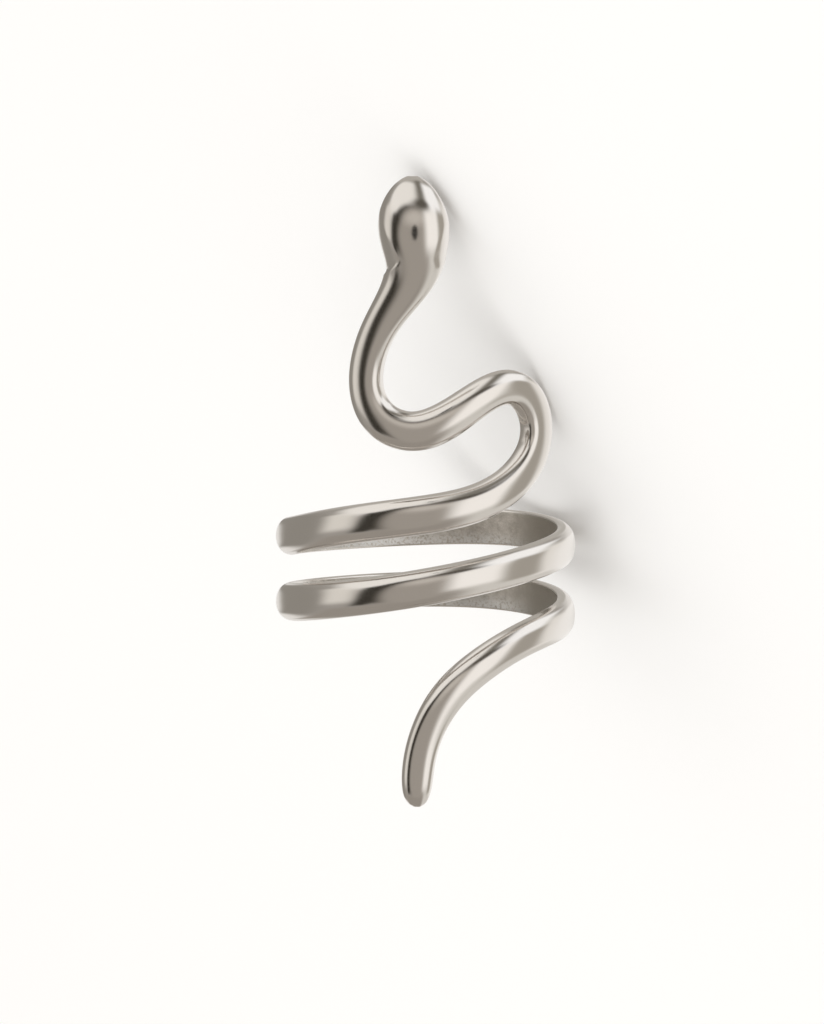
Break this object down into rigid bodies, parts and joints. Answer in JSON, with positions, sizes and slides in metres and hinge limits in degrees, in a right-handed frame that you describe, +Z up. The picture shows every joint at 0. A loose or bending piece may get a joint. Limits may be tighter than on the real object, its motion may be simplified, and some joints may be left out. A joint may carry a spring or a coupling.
{
  "type": "snake wrap ring",
  "caption": "Snake-shaped wrap ring: a polished domed band that coils round the finger, with a smooth drop-shaped head and a thin tail.",
  "frame": {"origin": "on the surface that the ring lies on, under the middle of its bounding box", "axes": "+X along the ring, level, towards the head end; +Z up from the surface; -Y is the side that the front of the ring faces. The finger's axis is square to Y and dips 29.9 degrees below level towards +X"},
  "size_m": [0.0354, 0.0198, 0.0211],
  "materials": {
    "silver": "polished silver outside, finely satin inside"
  },
  "bodies": {
    "root": {"snake_band": "silver"}
  },
  "joints": []
}
